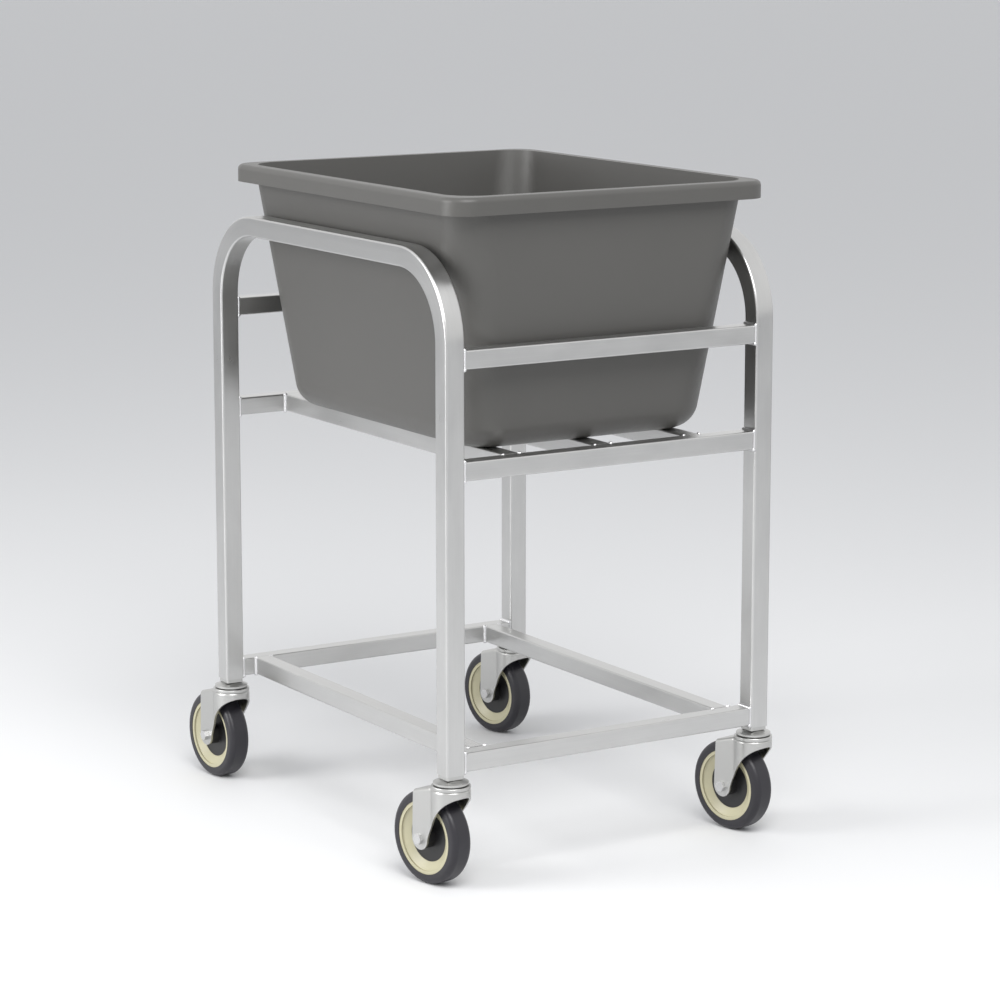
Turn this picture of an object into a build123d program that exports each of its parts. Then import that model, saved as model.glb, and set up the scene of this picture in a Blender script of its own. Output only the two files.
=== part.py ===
from build123d import *
import math
import os

# A bulk cart: a welded frame of square tube on four swivel casters,
# with a tapered tub that lifts out.
# Millimetres. +X runs along the rails, +Y towards the back, +Z up from the floor.

# Frame: two hoops of bent tube, and rails and bars of a smaller tube
track = 491.4              # between the legs' centres along X
wheelbase = 630.0          # between the legs' centres along Y
hoop_tube = 28.6           # width of the hoops' square tube
hoop_corner = 3.0          # its outer corner radius
hoop_wall = 2.2
hoop_top = 846.0           # height of the hoops' top face
hoop_bend = 107.0          # bend radius on the tube's centre line
rail_tube = 25.4           # width of the rails' square tube
rail_corner = 2.4
rail_wall = 2.0
upper_rail_top = 719.0
base_rail_top = 184.0
tub_bar_pitch = 144.0      # between the three bars under the tub
base_bar_inset = 47.5      # from a leg's centre to the centre of the bar beside it
inner_corner = 0.4         # least corner radius inside a tube
weld_rise = 4.0            # how far a weld bead stands up beside a tube
weld_run = 6.5             # how far it runs along the tube
weld_lip = 0.6             # what is left of it at its thin end
weld_clearance = 0.1       # from a bead to the edges of the leg's face
weld_gap = 0.2             # from the lowest beads to the end of the leg

# Tub
tub_height = 342.0
tub_rise = 69.0            # how far the rim's top stands above the hoops
tub_gap_x = 3.9            # from the walls to each hoop, level with the hoops' top
tub_gap_y = 27.2           # from the walls to each upper rail, level with the rail's top
tub_draft_x = 6.17         # degrees the side walls lean out
tub_draft_y = 6.67         # and the front and back walls
tub_wall = 5.0
tub_base_corner = 74.0     # upright corner radius at the bottom
tub_mouth_corner = 48.0    # and at the top
tub_edge = 37.0            # radius where the walls turn into the bottom
tub_stand_x = 0.65         # where the loose tub stands in its gaps: 0 is the middle,
tub_stand_y = -0.66        # 1 is against the right hoop or the rear rail
rim_width = 15.0           # how far the rim stands out from the walls
rim_depth = 24.0           # height of the rim's turned-down skirt
rim_wall = 4.0
rim_round = 7.0            # radius over the rim's top edge
rim_corner = 38.0          # upright corner radius of the rim

# Caster: stem, raceway, fork
caster_height = 155.6      # from the floor to the end of the leg
caster_trail = 37.8        # from the stem's axis to the axle
swivel_headings = {        # degrees each caster is turned from straight back
    "front_left": 10.7,
    "front_right": 10.7,
    "rear_left": 4.5,
    "rear_right": 10.7,
}
socket_flange = 26.0       # square flange under the end of the leg
socket_flange_depth = 5.4
socket_plug_depth = 30.0   # how far the socket reaches up inside the leg
socket_clearance = 0.1     # to the inside of the leg, on each side
stem_radius = 5.5
stem_length = 28.0         # stem inside the socket
stem_chamfer = 1.0
kingpin_radius = 5.0
kingpin_head_radius = 8.5
kingpin_head_depth = 3.0
kingpin_chamfer = 0.8
press_clearance = 0.02     # between pressed and clamped pieces
swivel_clearance = 0.05    # between the kingpin and the fork
plate_radius = 23.9        # upper raceway plate
plate_edge = 3.2           # its thickness at the edge
plate_round = 0.8
plate_boss_radius = 12.0
plate_boss_height = 4.4    # how far its middle rises to the socket
race_radius = 16.0         # circle that the balls run on
ball_radius = 2.5
ball_count = 10
race_gap = 1.0             # open gap between the two raceways
race_play = 0.15           # between the balls and the fork's raceway
crown_radius = 26.5        # lower raceway disc on top of the fork
crown_depth = 3.6
crown_sink = 0.8           # how far the disc is let into the fork's top
crown_round = 1.4
fork_sheet = 2.8           # thickness of the pressed fork
fork_inside = 19.4         # from the middle plane to the inside of each leg
fork_shoulder = 5.0        # outer radius where the legs turn into the top
fork_neck = 14.0           # radius where the round front turns into the legs
fork_slope_start = 20.0    # behind the stem, where the top begins to fall
fork_back_drop = 9.0       # how far the top falls towards the back
fork_back = 13.0           # top of the back edge, behind the axle
fork_leg_end = 15.0        # radius of the legs' ends round the axle
fork_apron = 10.0          # height of the apron round the front
fork_waist = 8.5           # behind the stem, where the lower edge turns down into the legs
fork_waist_rise = 29.5     # height of that point over the axle
overcut = 1.0              # how far a cutting shape runs past what it cuts

# Caster: wheel and axle
wheel_radius = 63.5
tyre_width = 31.75
tyre_shoulder = 8.0
tyre_inner_radius = 50.0
core_width = 30.0          # over the two faces of the core's rim
core_rim_face = 4.6        # radial width of that face
core_dish_radius = 34.0    # bottom of the dished side
core_dish_depth = 8.5
core_step = 2.6            # straight step inside the rim's face, before the dish slopes
core_web = 7.0             # thickness of the disc between rim and hub
core_ledge = 3.0           # radial width of the ledge that the cover sits on
hub_radius = 11.5
hub_play = 0.6             # between each end of the hub and the fork
cover_thickness = 1.6      # disc that closes the dish
cover_collar = 2.6         # thickness of its collar round the hub
cover_clearance = 0.3
bearing_radius = 9.0
sleeve_radius = 6.0
bearing_clearance = 0.05   # between the bearing and the sleeve
axle_radius = 4.0
nut_width = 13.0           # across the flats, for the head and the nut
bolt_head_depth = 5.3
nut_depth = 6.8
bolt_end = 2.0             # what stands out of the nut
bolt_chamfer = 0.8

# Worked out from the sizes above
tub_top = hoop_top + tub_rise
lower_rail_top = tub_top - tub_height
lean_x = math.tan(math.radians(tub_draft_x))
lean_y = math.tan(math.radians(tub_draft_y))
at_hoops_x = track - hoop_tube - 2 * tub_gap_x
at_rails_y = wheelbase - rail_tube - 2 * tub_gap_y
tub_mouth_x = at_hoops_x + 2 * lean_x * tub_rise
tub_mouth_y = at_rails_y + 2 * lean_y * (tub_top - upper_rail_top)
tub_base_x = tub_mouth_x - 2 * lean_x * tub_height
tub_base_y = tub_mouth_y - 2 * lean_y * tub_height
hoop_inner_x = track / 2 - hoop_tube / 2
leg_inner_y = wheelbase / 2 - rail_tube / 2
stem_spots = {
    "front_left": (-track / 2, -wheelbase / 2),
    "front_right": (track / 2, -wheelbase / 2),
    "rear_left": (-track / 2, wheelbase / 2),
    "rear_right": (track / 2, wheelbase / 2),
}
flange_bottom = caster_height - socket_flange_depth
plate_top = flange_bottom - plate_boss_height
plate_bottom = plate_top - plate_edge
crown_top = plate_bottom - race_gap
fork_top = crown_top - crown_depth
fork_outside = fork_inside + fork_sheet
axle_height = wheel_radius
hub_half = fork_inside - hub_play
bolt_head_end = fork_outside + bolt_head_depth
bolt_tail_end = fork_outside + nut_depth + bolt_end

pieces = []


def keep(piece, name):
    """Name a finished piece and hold it for writing."""
    piece.part.label = name
    pieces.append(piece.part)


def keep_copies(piece, spots, name):
    """Stand copies of a piece at the given places and keep them as one."""
    with BuildPart() as copies:
        with Locations(*spots):
            add(piece.part)
    keep(copies, name)


def square_tube(width, corner, wall):
    """The section of a square tube, drawn on the plane of the sketch that is open."""
    RectangleRounded(width, width, corner)
    inner = width - 2 * wall
    RectangleRounded(inner, inner, max(corner - wall, inner_corner), mode=Mode.SUBTRACT)


def bar(start, end, name):
    """A straight length of the rails' tube between two points on its centre line."""
    run = Vector(*end) - Vector(*start)
    with BuildPart() as tube:
        with BuildSketch(Plane(origin=start, x_dir=(0, 0, 1), z_dir=run)):
            square_tube(rail_tube, rail_corner, rail_wall)
        extrude(amount=run.length)
    keep(tube, name)


def hoop(x, name):
    """A hoop: two legs and the bent top between them, in one length of tube."""
    top = hoop_top - hoop_tube / 2
    with BuildPart() as bent:
        with BuildLine() as route:
            FilletPolyline(
                (x, -wheelbase / 2, caster_height),
                (x, -wheelbase / 2, top),
                (x, wheelbase / 2, top),
                (x, wheelbase / 2, caster_height),
                radius=hoop_bend,
            )
        with BuildSketch(Plane(origin=route.line @ 0, x_dir=(1, 0, 0), z_dir=route.line % 0)):
            square_tube(hoop_tube, hoop_corner, hoop_wall)
        sweep()
    keep(bent, name)


# Hoops
hoop(-track / 2, "left_hoop")
hoop(track / 2, "right_hoop")

# Rails across the front and the back
for level, top in (("upper", upper_rail_top), ("lower", lower_rail_top), ("base", base_rail_top)):
    z = top - rail_tube / 2
    for side, y in (("front", -wheelbase / 2), ("rear", wheelbase / 2)):
        bar((-hoop_inner_x, y, z), (hoop_inner_x, y, z), side + "_" + level + "_rail")

# Bars from front to back, under the tub and beside the legs
tub_bars = {"left": -tub_bar_pitch, "centre": 0.0, "right": tub_bar_pitch}
for side, x in tub_bars.items():
    z = lower_rail_top - rail_tube / 2
    bar((x, -leg_inner_y, z), (x, leg_inner_y, z), side + "_tub_bar")
base_bars = {"left": -track / 2 + base_bar_inset, "right": track / 2 - base_bar_inset}
for side, x in base_bars.items():
    z = base_rail_top - rail_tube / 2
    bar((x, -leg_inner_y, z), (x, leg_inner_y, z), side + "_base_bar")


def weld(face, across, upright):
    """A weld bead round the end of a tube, on a plane that faces along the tube."""
    with BuildPart() as bead:
        with BuildSketch(face):
            Rectangle(rail_tube + 2 * across, rail_tube + 2 * upright)
        with BuildSketch(face.offset(weld_run)):
            Rectangle(
                rail_tube + 2 * min(across, weld_lip),
                rail_tube + 2 * min(upright, weld_lip),
            )
        loft()
        with BuildSketch(face):
            RectangleRounded(rail_tube, rail_tube, rail_corner)
        extrude(amount=weld_run, mode=Mode.SUBTRACT)
    return bead.part


# Weld beads, one round each end of every rail and bar
rail_step = (hoop_tube - rail_tube) / 2 - weld_clearance
with BuildPart() as beads:
    for top in (upper_rail_top, lower_rail_top, base_rail_top):
        for y in (-wheelbase / 2, wheelbase / 2):
            for side in (-1, 1):
                face = Plane(
                    origin=(side * hoop_inner_x, y, top - rail_tube / 2),
                    x_dir=(0, 1, 0),
                    z_dir=(-side, 0, 0),
                )
                rise = min(weld_rise, top - rail_tube - caster_height - weld_gap)
                add(weld(face, rail_step, rise))
    ends = [(x, lower_rail_top) for x in tub_bars.values()]
    ends += [(x, base_rail_top) for x in base_bars.values()]
    for x, top in ends:
        for side in (-1, 1):
            face = Plane(
                origin=(x, side * leg_inner_y, top - rail_tube / 2),
                x_dir=(1, 0, 0),
                z_dir=(0, -side, 0),
            )
            add(weld(face, weld_rise, -rail_corner))
keep(beads, "weld_beads")


# Tub: a tapered shell with a turned-down rim
def tub_body(inset, bottom, top):
    """The tub's walls as a solid, drawn in by a wall thickness where asked."""
    with BuildPart() as body:
        with BuildSketch(Plane.XY.offset(bottom)):
            RectangleRounded(
                tub_base_x - 2 * inset, tub_base_y - 2 * inset, tub_base_corner - inset
            )
        with BuildSketch(Plane.XY.offset(top)):
            RectangleRounded(
                tub_mouth_x - 2 * inset, tub_mouth_y - 2 * inset, tub_mouth_corner - inset
            )
        loft()
        fillet(body.faces().sort_by(Axis.Z)[0].edges(), radius=tub_edge - inset)
    return body.part


with BuildPart() as tub_form:
    add(tub_body(0, lower_rail_top, tub_top))
    with BuildSketch(Plane.XY.offset(tub_top - rim_depth)):
        RectangleRounded(tub_mouth_x + 2 * rim_width, tub_mouth_y + 2 * rim_width, rim_corner)
    extrude(amount=rim_depth)
    fillet(tub_form.faces().sort_by(Axis.Z)[-1].outer_wire().edges(), radius=rim_round)
    with BuildSketch(Plane.XY.offset(tub_top - rim_depth)):
        RectangleRounded(
            tub_mouth_x + 2 * (rim_width - rim_wall),
            tub_mouth_y + 2 * (rim_width - rim_wall),
            rim_corner - rim_wall,
        )
        RectangleRounded(tub_mouth_x, tub_mouth_y, tub_mouth_corner, mode=Mode.SUBTRACT)
    extrude(amount=rim_depth - rim_wall, mode=Mode.SUBTRACT)
    add(tub_body(tub_wall, lower_rail_top + tub_wall, tub_top), mode=Mode.SUBTRACT)
tub_spot = Location((tub_stand_x * tub_gap_x, tub_stand_y * tub_gap_y, 0))
keep_copies(tub_form, [tub_spot], "tub")


# Caster pieces, each drawn once about the stem's axis with the wheel trailing to +X

# Socket: a plug in the end of the leg, with a flange under it
plug_width = hoop_tube - 2 * hoop_wall - 2 * socket_clearance
with BuildPart() as socket:
    with BuildSketch(Plane.XY.offset(flange_bottom)):
        RectangleRounded(socket_flange, socket_flange, hoop_corner)
    extrude(amount=socket_flange_depth)
    with BuildSketch(Plane.XY.offset(caster_height)):
        RectangleRounded(plug_width, plug_width, max(hoop_corner - hoop_wall, inner_corner))
    extrude(amount=socket_plug_depth)
    with BuildSketch(Plane.XY.offset(flange_bottom)):
        Circle(stem_radius + press_clearance)
    extrude(amount=socket_flange_depth + socket_plug_depth, mode=Mode.SUBTRACT)

# Stem and kingpin in one turned piece, headed under the fork
kingpin_bottom = fork_top - fork_sheet - kingpin_head_depth
with BuildPart() as stem:
    with BuildSketch(Plane.XZ):
        with BuildLine():
            Polyline(
                (0, kingpin_bottom),
                (kingpin_head_radius, kingpin_bottom),
                (kingpin_head_radius, kingpin_bottom + kingpin_head_depth),
                (kingpin_radius, kingpin_bottom + kingpin_head_depth),
                (kingpin_radius, plate_top),
                (stem_radius, plate_top),
                (stem_radius, flange_bottom + stem_length),
                (0, flange_bottom + stem_length),
                close=True,
            )
        make_face()
    revolve(axis=Axis.Z)
    chamfer(stem.edges().sort_by(Axis.Z)[-1], length=stem_chamfer)
    chamfer(stem.edges().sort_by(Axis.Z)[0], length=kingpin_chamfer)

# Upper raceway: a round plate that rises to meet the socket, grooved for the balls
ball_centre = plate_bottom - race_gap / 2
with BuildPart() as plate:
    with BuildSketch(Plane.XZ):
        with BuildLine():
            Polyline(
                (kingpin_radius + press_clearance, plate_bottom),
                (plate_radius, plate_bottom),
                (plate_radius, plate_top),
                (plate_boss_radius, flange_bottom),
                (stem_radius + press_clearance, flange_bottom),
                (stem_radius + press_clearance, plate_top),
                (kingpin_radius + press_clearance, plate_top),
                close=True,
            )
        make_face()
        with Locations((race_radius, ball_centre)):
            Circle(ball_radius, mode=Mode.SUBTRACT)
    revolve(axis=Axis.Z)
    widest = plate.edges().filter_by(GeomType.CIRCLE).sort_by(SortBy.RADIUS)[-1]
    fillet(widest, radius=plate_round)

# Balls between the raceways
with BuildPart() as balls:
    with Locations((0, 0, ball_centre)):
        with PolarLocations(race_radius, ball_count):
            Sphere(ball_radius)

# Fork: pressed from sheet, with its raceway disc on top
fork_low = axle_height - fork_leg_end
fork_back_x = caster_trail + fork_back
fork_reach = fork_back_x + fork_leg_end
fork_fall = fork_back_drop / (fork_back_x - fork_slope_start)


def fork_plan(inset):
    """The fork from above: a round front that necks into two straight legs."""
    front = crown_radius - inset
    half = fork_outside - inset
    with BuildSketch() as plan:
        Circle(front)
        with Locations((fork_reach / 2, 0)):
            Rectangle(fork_reach, 2 * half)
        fillet(plan.vertices().group_by(Axis.X)[0], radius=fork_neck)
    return plan.sketch


cavity_low = fork_low - overcut
with BuildPart() as cavity:
    with BuildSketch(Plane.XY.offset(cavity_low)):
        add(fork_plan(fork_sheet))
    extrude(amount=fork_top - cavity_low)
    with BuildSketch(Plane.XZ):
        with BuildLine():
            under = fork_top - fork_sheet
            Polyline(
                (-crown_radius, cavity_low),
                (-crown_radius, under),
                (fork_slope_start, under),
                (fork_reach, under - fork_fall * (fork_reach - fork_slope_start)),
                (fork_reach, cavity_low),
                close=True,
            )
        make_face()
    extrude(amount=crown_radius, both=True, mode=Mode.INTERSECT)

with BuildPart() as fork:
    with BuildSketch(Plane.XY.offset(fork_low)):
        add(fork_plan(0))
    extrude(amount=fork_top - fork_low)
    with BuildSketch(Plane.XZ):
        with BuildLine():
            apron = (-crown_radius, fork_top - fork_apron)
            leg_front = (caster_trail - fork_leg_end, axle_height)
            leg_back = (caster_trail + fork_leg_end, axle_height)
            waist = (fork_waist, axle_height + fork_waist_rise)
            Polyline(
                leg_back,
                (fork_back_x, fork_top - fork_back_drop),
                (fork_slope_start, fork_top),
                (-crown_radius, fork_top),
                apron,
            )
            Spline(apron, waist, leg_front, tangents=((2, -1), (1, -4)))
            ThreePointArc(leg_front, (caster_trail, fork_low), leg_back)
        make_face()
    extrude(amount=crown_radius, both=True, mode=Mode.INTERSECT)
    top_faces = fork.faces().filter_by(lambda f: f.normal_at().Z > 0.5)
    fillet(top_faces.edges().filter_by(Axis.Y, reverse=True), radius=fork_shoulder)
    add(cavity.part, mode=Mode.SUBTRACT)
    with BuildSketch(Plane.XY.offset(fork_top - crown_sink)):
        Circle(crown_radius)
    extrude(amount=crown_sink + crown_depth)
    rim_edges = fork.edges().filter_by(GeomType.CIRCLE).sort_by(Axis.Z)[-1]
    fillet(rim_edges, radius=crown_round)
    with BuildSketch(Plane.XZ):
        with Locations((race_radius, ball_centre)):
            Circle(ball_radius + race_play)
    revolve(axis=Axis.Z, mode=Mode.SUBTRACT)
    with BuildSketch(Plane.XY.offset(fork_low)):
        Circle(kingpin_radius + swivel_clearance)
    extrude(amount=crown_top - fork_low, mode=Mode.SUBTRACT)
    with BuildSketch(Plane.XZ):
        with Locations((caster_trail, axle_height)):
            Circle(axle_radius + press_clearance)
    extrude(amount=fork_outside, both=True, mode=Mode.SUBTRACT)

# Wheel pieces, turned about the axle: sketch x runs along the axle, y outwards
wheel_section = Plane(origin=(caster_trail, 0, axle_height), x_dir=(0, 1, 0), z_dir=(1, 0, 0))
axle_line = Axis((caster_trail, 0, axle_height), (0, 1, 0))
face = core_width / 2
floor = face - core_dish_depth
ledge = floor - cover_thickness
rim_inner = tyre_inner_radius - core_rim_face

# Core: hub, disc, dished sides and rim
half_core = [
    (hub_half, bearing_radius),
    (hub_half, hub_radius),
    (core_web / 2, hub_radius),
    (core_web / 2, core_dish_radius - core_ledge),
    (ledge, core_dish_radius - core_ledge),
    (ledge, core_dish_radius),
    (floor, core_dish_radius),
    (face - core_step, rim_inner),
    (face, rim_inner),
    (face, tyre_inner_radius),
]
with BuildPart() as core:
    with BuildSketch(wheel_section):
        with BuildLine():
            Polyline(*half_core, *[(-a, r) for a, r in reversed(half_core)], close=True)
        make_face()
    revolve(axis=axle_line)

# Tyre, with rounded shoulders
with BuildPart() as tyre:
    with BuildSketch(wheel_section) as ring:
        with Locations((0, (wheel_radius + tyre_inner_radius) / 2)):
            Rectangle(tyre_width, wheel_radius - tyre_inner_radius)
        fillet(ring.vertices().group_by(Axis.Y)[-1], radius=tyre_shoulder)
    revolve(axis=axle_line)

# Covers that close the dish on both sides, each with a collar round the hub
cover_inner = hub_radius + cover_clearance
cover_outer = core_dish_radius - cover_clearance
half_cover = [
    (ledge, cover_inner),
    (hub_half, cover_inner),
    (hub_half, cover_inner + cover_collar),
    (floor, cover_inner + cover_collar),
    (floor, cover_outer),
    (ledge, cover_outer),
]
with BuildPart() as covers:
    with BuildSketch(wheel_section):
        for side in (-1, 1):
            with BuildLine():
                Polyline(*[(side * a, r) for a, r in half_cover], close=True)
            make_face()
    revolve(axis=axle_line)


def tube_on_axle(half, outer_radius, inner_radius):
    """A plain tube round the axle, centred in the fork."""
    with BuildPart() as tube:
        with BuildSketch(wheel_section):
            with Locations((0, (outer_radius + inner_radius) / 2)):
                Rectangle(2 * half, outer_radius - inner_radius)
        revolve(axis=axle_line)
    return tube


bearing = tube_on_axle(hub_half, bearing_radius, sleeve_radius + bearing_clearance)
sleeve = tube_on_axle(fork_inside, sleeve_radius, axle_radius + press_clearance)

# Axle bolt with its head outside one leg, and the nut outside the other
head_seat = Plane(origin=(caster_trail, fork_outside, axle_height), x_dir=(1, 0, 0), z_dir=(0, 1, 0))
nut_seat = Plane(origin=(caster_trail, -fork_outside, axle_height), x_dir=(1, 0, 0), z_dir=(0, -1, 0))
with BuildPart() as bolt:
    with BuildSketch(head_seat):
        RegularPolygon(nut_width / 2, 6, major_radius=False)
    extrude(amount=bolt_head_depth)
    with BuildSketch(head_seat):
        Circle(axle_radius)
    extrude(amount=-(fork_outside + bolt_tail_end))
    chamfer(bolt.edges().sort_by(Axis.Y)[0], length=bolt_chamfer)
with BuildPart() as nut:
    with BuildSketch(nut_seat):
        RegularPolygon(nut_width / 2, 6, major_radius=False)
        Circle(axle_radius + press_clearance, mode=Mode.SUBTRACT)
    extrude(amount=nut_depth)

# The four casters
spots = [Location((x, y, 0)) for x, y in stem_spots.values()]
keep_copies(socket, spots, "caster_sockets")
keep_copies(stem, spots, "caster_stems")
keep_copies(plate, spots, "upper_raceways")
keep_copies(balls, spots, "raceway_balls")
caster_pieces = {
    "fork": fork,
    "axle_bolt": bolt,
    "axle_nut": nut,
    "axle_sleeve": sleeve,
    "hub_bearing": bearing,
    "wheel_core": core,
    "hub_covers": covers,
    "tyre": tyre,
}
for corner, (x, y) in stem_spots.items():
    spot = Location((x, y, 0), (0, 0, 90 + swivel_headings[corner]))
    for name, piece in caster_pieces.items():
        keep_copies(piece, [spot], corner + "_" + name)

# Round spots that bound a caster from above, each as x, y and radius from its stem
tread = wheel_radius - tyre_shoulder
flank = tyre_width / 2 - tyre_shoulder
hex_corner = nut_width / 2 / math.cos(math.pi / 6)
outline = [(0, 0, crown_radius)]
for end in (-1, 1):
    outline += [(caster_trail + end * tread, side * flank, tyre_shoulder) for side in (-1, 1)]
    outline.append((caster_trail + end * hex_corner, bolt_head_end, 0))
    outline.append((caster_trail + end * axle_radius, -bolt_tail_end, 0))

# The origin lies on the floor, under the middle of the whole cart
reach_x = []
reach_y = []
for corner, (x, y) in stem_spots.items():
    turn = math.radians(90 + swivel_headings[corner])
    for along, across, radius in outline:
        spot_x = x + along * math.cos(turn) - across * math.sin(turn)
        spot_y = y + along * math.sin(turn) + across * math.cos(turn)
        reach_x += [spot_x - radius, spot_x + radius]
        reach_y += [spot_y - radius, spot_y + radius]
middle_x = (min(reach_x) + max(reach_x)) / 2
middle_y = (min(reach_y) + max(reach_y)) / 2
to_origin = Location((-middle_x, -middle_y, 0))
os.makedirs("parts", exist_ok=True)
for piece in pieces:
    placed = piece.moved(to_origin)
    placed.label = piece.label
    export_step(placed, "parts/" + placed.label + ".step")
print("stems' centre in the cart's own frame", to_origin.position)
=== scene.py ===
import math

import bmesh
import bpy
from mathutils import Matrix, Vector


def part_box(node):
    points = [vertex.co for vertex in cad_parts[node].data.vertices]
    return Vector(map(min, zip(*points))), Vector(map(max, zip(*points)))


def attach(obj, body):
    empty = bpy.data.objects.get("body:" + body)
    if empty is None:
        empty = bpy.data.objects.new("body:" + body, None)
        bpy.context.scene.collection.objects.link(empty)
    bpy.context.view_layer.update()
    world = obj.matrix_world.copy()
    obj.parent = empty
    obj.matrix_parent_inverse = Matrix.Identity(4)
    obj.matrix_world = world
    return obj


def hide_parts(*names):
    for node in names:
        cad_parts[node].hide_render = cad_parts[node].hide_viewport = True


bl_info = {
    "name": "Bulk cart",
    "version": (1, 0, 0),
    "blender": (4, 5, 0),
    "location": "3D View > Sidebar > Bulk cart",
    "description": "Finishes and lights a bulk cart: square tube frame, tapered tub and four casters",
    "category": "Object",
}

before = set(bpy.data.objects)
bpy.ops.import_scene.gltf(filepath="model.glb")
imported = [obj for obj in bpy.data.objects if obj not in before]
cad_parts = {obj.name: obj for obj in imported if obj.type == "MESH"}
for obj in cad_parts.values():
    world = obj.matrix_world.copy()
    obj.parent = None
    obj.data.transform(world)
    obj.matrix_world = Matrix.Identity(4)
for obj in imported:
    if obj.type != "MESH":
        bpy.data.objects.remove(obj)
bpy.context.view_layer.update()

CORNERS = ("front_left", "front_right", "rear_left", "rear_right")
HOOPS = ("left_hoop", "right_hoop")
RAILS = tuple(
    f"{side}_{level}_rail" for side in ("front", "rear") for level in ("upper", "lower", "base")
)
BARS = ("left_tub_bar", "centre_tub_bar", "right_tub_bar", "left_base_bar", "right_base_bar")


# ---------------------------------------------------------------- settings


def colour(name, description, default):
    """A colour setting, written as it renders in plain light."""
    return bpy.props.FloatVectorProperty(
        name=name, description=description, subtype="COLOR", size=3, min=0, max=1, default=default
    )


def length(name, description, default):
    """A length setting in metres."""
    return bpy.props.FloatProperty(
        name=name, description=description, subtype="DISTANCE", unit="LENGTH", default=default
    )


def amount(name, description, default):
    """A plain number from 0 to 1."""
    return bpy.props.FloatProperty(name=name, description=description, min=0, max=1, default=default)


class BULKCART_PG_tube(bpy.types.PropertyGroup):
    """The aluminium tube and its welds"""

    metal: colour("Metal", "Colour of the bare tube", (0.56, 0.56, 0.555))
    weld: colour("Weld", "Colour of the weld beads", (0.74, 0.74, 0.75))
    roughness: amount("Roughness", "How matt the tube is", 0.3)
    bead_width: length("Bead width", "Width of a weld bead", 0.007)
    bead_pitch: length("Bead pitch", "From one ripple of a bead to the next", 0.0021)


class BULKCART_PG_tub(bpy.types.PropertyGroup):
    """The moulded tub"""

    plastic: colour("Plastic", "Colour of the tub", (0.085, 0.083, 0.078))
    roughness: amount("Roughness", "How matt the plastic is", 0.42)


class BULKCART_PG_caster(bpy.types.PropertyGroup):
    """Forks, fasteners and wheels"""

    zinc: colour("Zinc", "Colour of the plated steel", (0.50, 0.50, 0.49))
    core: colour("Core", "Colour of the moulded wheel core", (0.50, 0.47, 0.32))
    cover: colour("Cover", "Colour of the cover inside the dish", (0.012, 0.012, 0.013))
    tyre: colour("Tyre", "Colour of the tread", (0.016, 0.015, 0.02))


class BULKCART_PG_stage(bpy.types.PropertyGroup):
    """Floor and lights"""

    floor: colour("Floor", "Colour of the floor", (0.86, 0.86, 0.86))
    key_power: bpy.props.FloatProperty(
        name="Key light", description="Power of the large soft light", unit="POWER", default=110
    )
    fill_power: bpy.props.FloatProperty(
        name="Fill light", description="Power of the light on the left side", unit="POWER", default=70
    )


# ---------------------------------------------------------------- finishes


def socket(group, name, kind, way, default=None):
    """One input or output on a node group."""
    made = group.interface.new_socket(name=name, in_out=way, socket_type=kind)
    if default is not None:
        made.default_value = default
    return made


def new_group(name, inputs, outputs):
    """An empty shader node group with named sockets, and its two end nodes."""
    group = bpy.data.node_groups.new(name, "ShaderNodeTree")
    for label, kind, default in inputs:
        socket(group, label, kind, "INPUT", default)
    for label, kind in outputs:
        socket(group, label, kind, "OUTPUT")
    return group, group.nodes.new("NodeGroupInput"), group.nodes.new("NodeGroupOutput")


def mix(tree, blend, factor, first, second):
    """A colour mix node; each of the three is a socket or a value."""
    node = tree.nodes.new("ShaderNodeMix")
    node.data_type = "RGBA"
    node.blend_type = blend
    for index, given in ((0, factor), (6, first), (7, second)):
        if isinstance(given, bpy.types.NodeSocket):
            tree.links.new(given, node.inputs[index])
        else:
            node.inputs[index].default_value = given if index == 0 else (*given, 1)[:4]
    return node.outputs[2]


def spread(tree, value, low, high):
    """A value between 0 and 1 spread over a new range."""
    node = tree.nodes.new("ShaderNodeMapRange")
    tree.links.new(value, node.inputs["Value"])
    node.inputs["To Min"].default_value = low
    node.inputs["To Max"].default_value = high
    return node.outputs["Result"]


def noise(tree, vector, scale, detail=3.0, roughness=0.5):
    """A noise texture's value."""
    node = tree.nodes.new("ShaderNodeTexNoise")
    node.inputs["Scale"].default_value = scale
    node.inputs["Detail"].default_value = detail
    node.inputs["Roughness"].default_value = roughness
    tree.links.new(vector, node.inputs["Vector"])
    return node.outputs["Fac"]


def stretched(tree, vector, scale):
    """A vector scaled by different amounts along its axes."""
    node = tree.nodes.new("ShaderNodeMapping")
    node.inputs["Scale"].default_value = scale
    tree.links.new(vector, node.inputs["Vector"])
    return node.outputs["Vector"]


def drawn_lines_group():
    """Fine lines along a drawn tube, with slow cloudy patches."""
    group, start, end = new_group(
        "Drawn lines",
        [("Vector", "NodeSocketVector", None)],
        [("Lines", "NodeSocketFloat"), ("Clouds", "NodeSocketFloat")],
    )
    vector = start.outputs["Vector"]
    lines = noise(group, stretched(group, vector, (6, 900, 900)), 1.0, 4.0, 0.65)
    clouds = noise(group, stretched(group, vector, (9, 30, 30)), 1.0, 3.0, 0.6)
    group.links.new(lines, end.inputs["Lines"])
    group.links.new(clouds, end.inputs["Clouds"])
    return group


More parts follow.
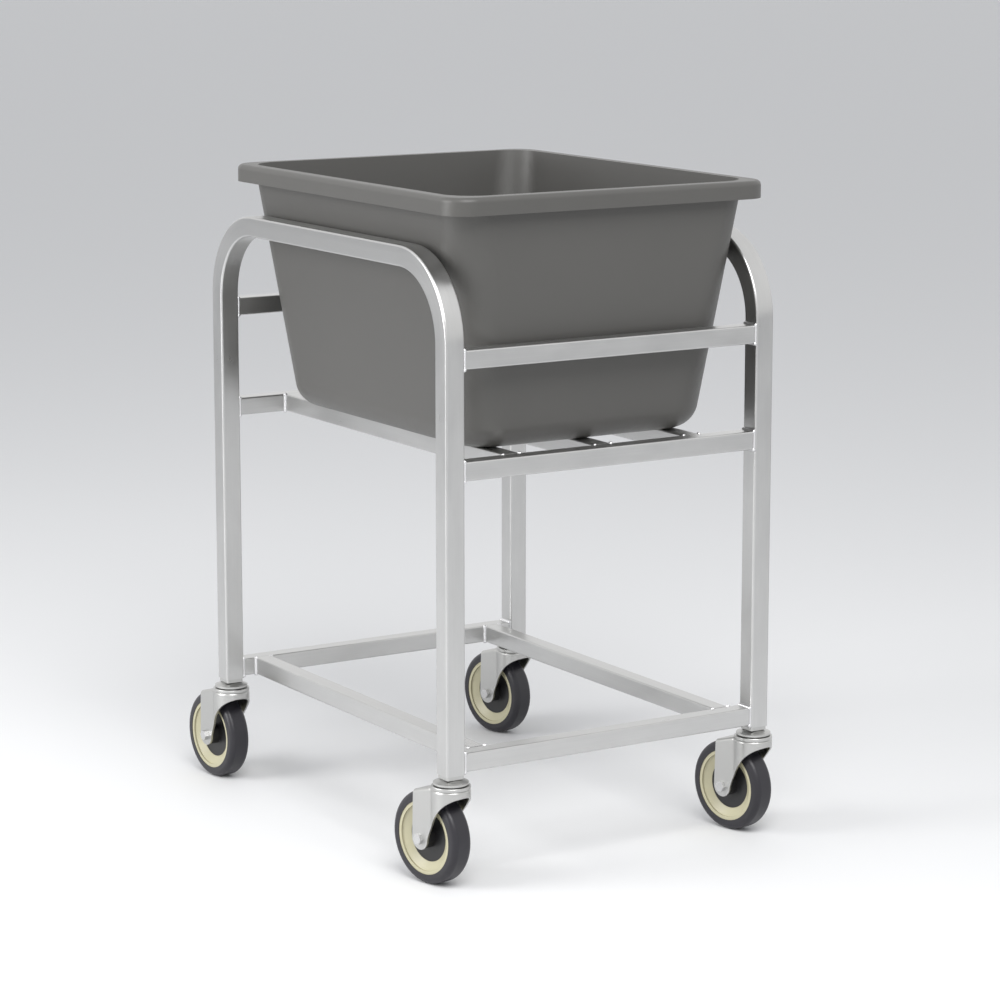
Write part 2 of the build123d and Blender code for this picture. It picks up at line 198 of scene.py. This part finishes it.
def fine_grain_group():
    """An even grain with soft patches, for moulded and plated surfaces."""
    group, start, end = new_group(
        "Fine grain",
        [("Vector", "NodeSocketVector", None), ("Size", "NodeSocketFloat", 600.0)],
        [("Grain", "NodeSocketFloat"), ("Patches", "NodeSocketFloat")],
    )
    grain = group.nodes.new("ShaderNodeTexNoise")
    group.links.new(start.outputs["Vector"], grain.inputs["Vector"])
    group.links.new(start.outputs["Size"], grain.inputs["Scale"])
    patches = noise(group, start.outputs["Vector"], 7.0, 3.0, 0.6)
    group.links.new(grain.outputs["Fac"], end.inputs["Grain"])
    group.links.new(patches, end.inputs["Patches"])
    return group


def finish_of(name, rough, metallic):
    """A new material with its shader set; returns the material, its tree and the shader."""
    made = bpy.data.materials.new(name)
    made.use_nodes = True
    shader = made.node_tree.nodes["Principled BSDF"]
    shader.inputs["Roughness"].default_value = rough
    shader.inputs["Metallic"].default_value = metallic
    return made, made.node_tree, shader


def use_group(tree, group, vector, **values):
    """A node group placed in a material, fed by a vector."""
    node = tree.nodes.new("ShaderNodeGroup")
    node.node_tree = group
    tree.links.new(vector, node.inputs["Vector"])
    for label, value in values.items():
        node.inputs[label].default_value = value
    return node


def bump(tree, shader, height, distance):
    """A bump on the shader's normal."""
    node = tree.nodes.new("ShaderNodeBump")
    node.inputs["Distance"].default_value = distance
    tree.links.new(height, node.inputs["Height"])
    tree.links.new(node.outputs["Normal"], shader.inputs["Normal"])
    return node


def object_vector(tree, turn=(0, 0, 0)):
    """Object coordinates, turned so that X runs along the piece."""
    place = tree.nodes.new("ShaderNodeTexCoord")
    if not any(turn):
        return place.outputs["Object"]
    node = tree.nodes.new("ShaderNodeMapping")
    node.inputs["Rotation"].default_value = turn
    tree.links.new(place.outputs["Object"], node.inputs["Vector"])
    return node.outputs["Vector"]


def tube_metal(name, look, group, vector_of):
    """Bare drawn aluminium with fine lines along the tube."""
    made, tree, shader = finish_of(name, look.roughness, 1.0)
    lines = use_group(tree, group, vector_of(tree))
    tone = spread(tree, lines.outputs["Lines"], 0.93, 1.05)
    cloud = spread(tree, lines.outputs["Clouds"], 0.9, 1.08)
    base = mix(tree, "MULTIPLY", 1.0, look.metal, tone)
    base = mix(tree, "MULTIPLY", 1.0, base, cloud)
    tree.links.new(base, shader.inputs["Base Color"])
    rough = spread(tree, lines.outputs["Clouds"], look.roughness - 0.08, look.roughness + 0.1)
    tree.links.new(rough, shader.inputs["Roughness"])
    bump(tree, shader, lines.outputs["Lines"], 0.00003)
    return made


def moulded(name, base, rough, group, size, depth, variation=0.06):
    """A moulded or plated surface with an even grain."""
    made, tree, shader = finish_of(name, rough, 0.0)
    grain = use_group(tree, group, object_vector(tree), Size=size)
    tone = spread(tree, grain.outputs["Patches"], 1 - variation, 1 + variation)
    tree.links.new(mix(tree, "MULTIPLY", 1.0, base, tone), shader.inputs["Base Color"])
    wear = spread(tree, grain.outputs["Patches"], rough - 0.06, rough + 0.06)
    tree.links.new(wear, shader.inputs["Roughness"])
    bump(tree, shader, grain.outputs["Grain"], depth)
    return made, shader


# ---------------------------------------------------------------- pieces


def surface_of(node, crease=math.radians(28)):
    """A copy of a node's surface with its corners joined, smooth where it bends gently."""
    mesh = bmesh.new()
    mesh.from_mesh(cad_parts[node].data)
    bmesh.ops.remove_doubles(mesh, verts=mesh.verts, dist=1e-6)
    for face in mesh.faces:
        face.smooth = True
    for edge in mesh.edges:
        edge.smooth = edge.is_manifold and edge.calc_face_angle() < crease
    return mesh


def keep_piece(mesh, name, body, material):
    """Turn a finished mesh into a piece that rides a body."""
    data = bpy.data.meshes.new(name)
    mesh.to_mesh(data)
    mesh.free()
    piece = bpy.data.objects.new(name, data)
    bpy.context.scene.collection.objects.link(piece)
    data.materials.append(material)
    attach(piece, body)
    return piece


def dress(node, name, body, material, crease=math.radians(28)):
    """A smooth copy of a node, standing for it."""
    piece = keep_piece(surface_of(node, crease), name, body, material)
    even = piece.modifiers.new("Even shading", "WEIGHTED_NORMAL")
    even.keep_sharp = True
    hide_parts(node)
    return piece


def run_along_hoop(mesh, low, high):
    """Give a hoop's mesh a UV map whose U runs along its tube, round both bends."""
    layer = mesh.loops.layers.uv.new("Along tube")
    bend = 0.107
    top = high.z - 0.0143
    front, back = low.y + 0.0143, high.y - 0.0143
    for face in mesh.faces:
        for loop in face.loops:
            x, y, z = loop.vert.co
            side = front + bend if y < (front + back) / 2 else back - bend
            across = (side - y) * (1 if side < (front + back) / 2 else -1)
            rise = z - (top - bend)
            if rise <= 0:
                run, out = -rise + bend * math.pi / 2, across - bend
            elif across <= 0:
                run, out = across, rise - bend
            else:
                run, out = bend * math.atan2(across, rise), math.hypot(across, rise) - bend
            loop[layer].uv = (run, out + x)


class BULKCART_OT_tubes(bpy.types.Operator):
    """Dress the hoops, rails and bars in bare drawn aluminium"""

    bl_idname = "bulkcart.tubes"
    bl_label = "Tubes"

    def execute(self, context):
        look = context.scene.bulkcart_tube
        lines = drawn_lines_group()

        def uv_vector(tree):
            node = tree.nodes.new("ShaderNodeUVMap")
            node.uv_map = "Along tube"
            return node.outputs["UV"]

        along_x = tube_metal("Aluminium rail", look, lines, lambda tree: object_vector(tree))
        along_y = tube_metal(
            "Aluminium bar", look, lines, lambda tree: object_vector(tree, (0, 0, math.pi / 2))
        )
        bent = tube_metal("Aluminium hoop", look, lines, uv_vector)
        for node in RAILS:
            dress(node, node + "_tube", "frame", along_x)
        for node in BARS:
            dress(node, node + "_tube", "frame", along_y)
        for node in HOOPS:
            mesh = surface_of(node)
            run_along_hoop(mesh, *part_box(node))
            piece = keep_piece(mesh, node + "_tube", "frame", bent)
            even = piece.modifiers.new("Even shading", "WEIGHTED_NORMAL")
            even.keep_sharp = True
            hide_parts(node)
        return {"FINISHED"}


def bead_row(run, width, pitch):
    """A row of overlapping flat drops along X, like coins pushed over, facing up."""
    mesh = bmesh.new()
    count = max(2, round(run / pitch))
    size = Matrix.Diagonal((pitch * 1.5, width / 2, width / 2.6, 1))
    lean = Matrix.Rotation(math.radians(24), 4, "Y")
    for step in range(count + 1):
        place = Matrix.Translation((run * step / count, 0, 0)) @ lean @ size
        bmesh.ops.create_uvsphere(mesh, u_segments=8, v_segments=6, radius=1.0, matrix=place)
    for face in mesh.faces:
        face.smooth = True
    data = bpy.data.meshes.new("bead_row")
    mesh.to_mesh(data)
    mesh.free()
    return data


def lay_bead(mesh, row, start, along, outward):
    """Lay a row of drops from a point along a joint."""
    side = outward.cross(along).normalized()
    turn = Matrix((along, side, outward)).transposed().to_4x4()
    laid = row.copy()
    laid.transform(Matrix.Translation(start) @ turn)
    mesh.from_mesh(laid)
    bpy.data.meshes.remove(laid)


class BULKCART_OT_welds(bpy.types.Operator):
    """Lay rippled weld beads round the ends of the rails and bars"""

    bl_idname = "bulkcart.welds"
    bl_label = "Weld beads"

    def execute(self, context):
        look = context.scene.bulkcart_tube
        made, tree, shader = finish_of("Weld bead", 0.28, 1.0)
        grain = use_group(tree, fine_grain_group(), object_vector(tree), Size=900.0)
        tone = spread(tree, grain.outputs["Grain"], 0.85, 1.1)
        tree.links.new(mix(tree, "MULTIPLY", 1.0, look.weld, tone), shader.inputs["Base Color"])
        bump(tree, shader, grain.outputs["Grain"], 0.0001)
        mesh = bmesh.new()
        low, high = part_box(RAILS[0])
        reach = (high.z - low.z) / 2 - 0.001
        full = bead_row(2 * reach, look.bead_width, look.bead_pitch)
        flush = bead_row(2 * reach, look.bead_width / 2, look.bead_pitch)
        up = Vector((0, 0, 1))
        for node in RAILS + BARS:
            low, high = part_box(node)
            middle = (low + high) / 2
            half = (high.z - low.z) / 2
            axis = 0 if node in RAILS else 1
            across = Vector((0, 1, 0)) if axis == 0 else Vector((1, 0, 0))
            for end in (-1, 1):
                face = middle.copy()
                face[axis] = low[axis] if end < 0 else high[axis]
                inward = Vector((0, 0, 0))
                inward[axis] = -end
                seat = face + inward * 0.0006
                for way in (-1, 1):
                    lean = (inward + across * way).normalized()
                    edge = seat + across * way * half
                    row = flush if axis == 0 else full
                    lay_bead(mesh, row, edge - up * reach, up, lean)
                    if axis == 0:
                        lean = (inward + up * way).normalized()
                        edge = seat + up * way * half
                        lay_bead(mesh, full, edge - across * reach, across, lean)
        piece = keep_piece(mesh, "weld_ripples", "frame", made)
        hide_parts("weld_beads")
        return {"FINISHED"}


class BULKCART_OT_tub(bpy.types.Operator):
    """Dress the tub in dark grey moulded plastic"""

    bl_idname = "bulkcart.tub"
    bl_label = "Tub"

    def execute(self, context):
        look = context.scene.bulkcart_tub
        grain = fine_grain_group()
        plastic, shader = moulded(
            "Tub plastic", look.plastic, look.roughness, grain, 900.0, 0.00012
        )
        dress("tub", "moulded_tub", "tub", plastic)
        return {"FINISHED"}


class BULKCART_OT_casters(bpy.types.Operator):
    """Dress the forks, raceways, sockets and fasteners in plated steel"""

    bl_idname = "bulkcart.casters"
    bl_label = "Casters"

    def execute(self, context):
        look = context.scene.bulkcart_caster
        grain = fine_grain_group()
        zinc, shader = moulded("Zinc plate", look.zinc, 0.34, grain, 500.0, 0.00006)
        shader.inputs["Metallic"].default_value = 1.0
        bright, shader = moulded("Bright steel", (0.62, 0.62, 0.62), 0.25, grain, 500.0, 0.00002)
        shader.inputs["Metallic"].default_value = 1.0
        for node in ("caster_sockets", "caster_stems", "upper_raceways"):
            dress(node, node + "_plated", "frame", zinc)
        dress("raceway_balls", "raceway_balls_polished", "frame", bright, math.pi)
        for corner in CORNERS:
            swivel = corner + "_swivel"
            dress(corner + "_fork", corner + "_fork_plated", swivel, zinc)
            for part in ("axle_bolt", "axle_nut", "axle_sleeve"):
                node = f"{corner}_{part}"
                dress(node, node + "_bright", swivel, bright)
        return {"FINISHED"}


class BULKCART_OT_wheels(bpy.types.Operator):
    """Dress the wheels: black tyre, cream core and black covers"""

    bl_idname = "bulkcart.wheels"
    bl_label = "Wheels"

    def execute(self, context):
        look = context.scene.bulkcart_caster
        grain = fine_grain_group()
        rubber, _ = moulded("Tyre rubber", look.tyre, 0.38, grain, 1400.0, 0.00006)
        core, _ = moulded("Wheel core", look.core, 0.36, grain, 700.0, 0.00005)
        cover, _ = moulded("Hub cover", look.cover, 0.4, grain, 900.0, 0.00004)
        for corner in CORNERS:
            wheel = corner + "_wheel"
            parts = (
                ("tyre", "_smooth", "tyre_rubber", rubber),
                ("wheel_core", "_moulded", "wheel_plastic", core),
                ("hub_covers", "_moulded", "cover_plastic", cover),
                ("hub_bearing", "_turned", "bearing_plastic", cover),
            )
            for part, ending, slot, material in parts:
                node = f"{corner}_{part}"
                dress(node, node + ending, wheel, material)
        return {"FINISHED"}


# ---------------------------------------------------------------- stage


def soft_light(name, power, size, place, target):
    """A large square lamp aimed at a point."""
    data = bpy.data.lights.new(name, "AREA")
    data.energy = power
    data.shape = "RECTANGLE"
    data.size, data.size_y = size
    lamp = bpy.data.objects.new(name, data)
    lamp.location = place
    lamp.rotation_euler = (Vector(target) - Vector(place)).to_track_quat("-Z", "Y").to_euler()
    bpy.context.scene.collection.objects.link(lamp)
    return lamp


def seen_directly(tree):
    """1 for rays from the camera, mirrors or glass, 0 for the light that falls on surfaces."""
    path = tree.nodes.new("ShaderNodeLightPath")
    first = tree.nodes.new("ShaderNodeMath")
    first.operation = "MAXIMUM"
    second = tree.nodes.new("ShaderNodeMath")
    second.operation = "MAXIMUM"
    tree.links.new(path.outputs["Is Camera Ray"], first.inputs[0])
    tree.links.new(path.outputs["Is Glossy Ray"], first.inputs[1])
    tree.links.new(first.outputs[0], second.inputs[0])
    tree.links.new(path.outputs["Is Transmission Ray"], second.inputs[1])
    return second.outputs[0]


class BULKCART_OT_stage(bpy.types.Operator):
    """Lay the floor, set the lights and place the camera"""

    bl_idname = "bulkcart.stage"
    bl_label = "Stage"

    def execute(self, context):
        look = context.scene.bulkcart_stage
        scene = context.scene
        scene.view_settings.view_transform = "Standard"

        world = bpy.data.worlds.new("Pale studio")
        world.use_nodes = True
        tree = world.node_tree
        back = tree.nodes["Background"]
        seen = seen_directly(tree)
        tree.links.new(mix(tree, "MIX", seen, (0.55, 0.56, 0.58), (1, 1, 1)), back.inputs["Color"])
        scene.world = world

        floor_finish, tree, shader = finish_of("Pale floor", 0.7, 0.0)
        shader.inputs["Base Color"].default_value = (*look.floor, 1)
        data = bpy.data.meshes.new("floor")
        mesh = bmesh.new()
        bmesh.ops.create_grid(mesh, x_segments=1, y_segments=1, size=30.0)
        mesh.to_mesh(data)
        mesh.free()
        floor = bpy.data.objects.new("floor", data)
        data.materials.append(floor_finish)
        scene.collection.objects.link(floor)

        soft_light("Key", look.key_power, (2.4, 2.4), (-0.8, -2.6, 3.4), (0, 0, 0.5))
        soft_light("Left fill", look.fill_power, (1.6, 2.4), (-3.2, 0.6, 1.6), (0, 0, 0.5))

        data = bpy.data.cameras.new("Photo angle")
        data.sensor_width = 36.0
        data.lens = 120.08
        camera = bpy.data.objects.new("Photo angle", data)
        camera.location = (-2.42481, -3.99974, 1.32863)
        camera.rotation_euler = (math.radians(79.27), 0, math.radians(-31.78))
        scene.collection.objects.link(camera)
        scene.camera = camera
        return {"FINISHED"}


class BULKCART_PT_panel(bpy.types.Panel):
    """Lists the cart's settings and the steps that build its finished pieces"""

    bl_idname = "BULKCART_PT_panel"
    bl_label = "Bulk cart"
    bl_space_type = "VIEW_3D"
    bl_region_type = "UI"
    bl_category = "Bulk cart"

    def draw(self, context):
        column = self.layout.column()
        for group, steps in STEPS:
            settings = getattr(context.scene, "bulkcart_" + group)
            for name in settings.bl_rna.properties.keys():
                if name not in ("rna_type", "name"):
                    column.prop(settings, name)
            for step in steps:
                column.operator(step.bl_idname)


STEPS = (
    ("tube", (BULKCART_OT_tubes, BULKCART_OT_welds)),
    ("tub", (BULKCART_OT_tub,)),
    ("caster", (BULKCART_OT_casters, BULKCART_OT_wheels)),
    ("stage", (BULKCART_OT_stage,)),
)
SETTINGS = {
    "tube": BULKCART_PG_tube,
    "tub": BULKCART_PG_tub,
    "caster": BULKCART_PG_caster,
    "stage": BULKCART_PG_stage,
}


def register():
    for name, kind in SETTINGS.items():
        bpy.utils.register_class(kind)
        setattr(bpy.types.Scene, "bulkcart_" + name, bpy.props.PointerProperty(type=kind))
    for _, steps in STEPS:
        for step in steps:
            bpy.utils.register_class(step)
    bpy.utils.register_class(BULKCART_PT_panel)


def unregister():
    bpy.utils.unregister_class(BULKCART_PT_panel)
    for _, steps in STEPS:
        for step in steps:
            bpy.utils.unregister_class(step)
    for name, kind in SETTINGS.items():
        delattr(bpy.types.Scene, "bulkcart_" + name)
        bpy.utils.unregister_class(kind)


def main():
    register()
    bpy.ops.bulkcart.tubes()
    bpy.ops.bulkcart.welds()
    bpy.ops.bulkcart.tub()
    bpy.ops.bulkcart.casters()
    bpy.ops.bulkcart.wheels()
    bpy.ops.bulkcart.stage()


if __name__ == "__main__":
    main()
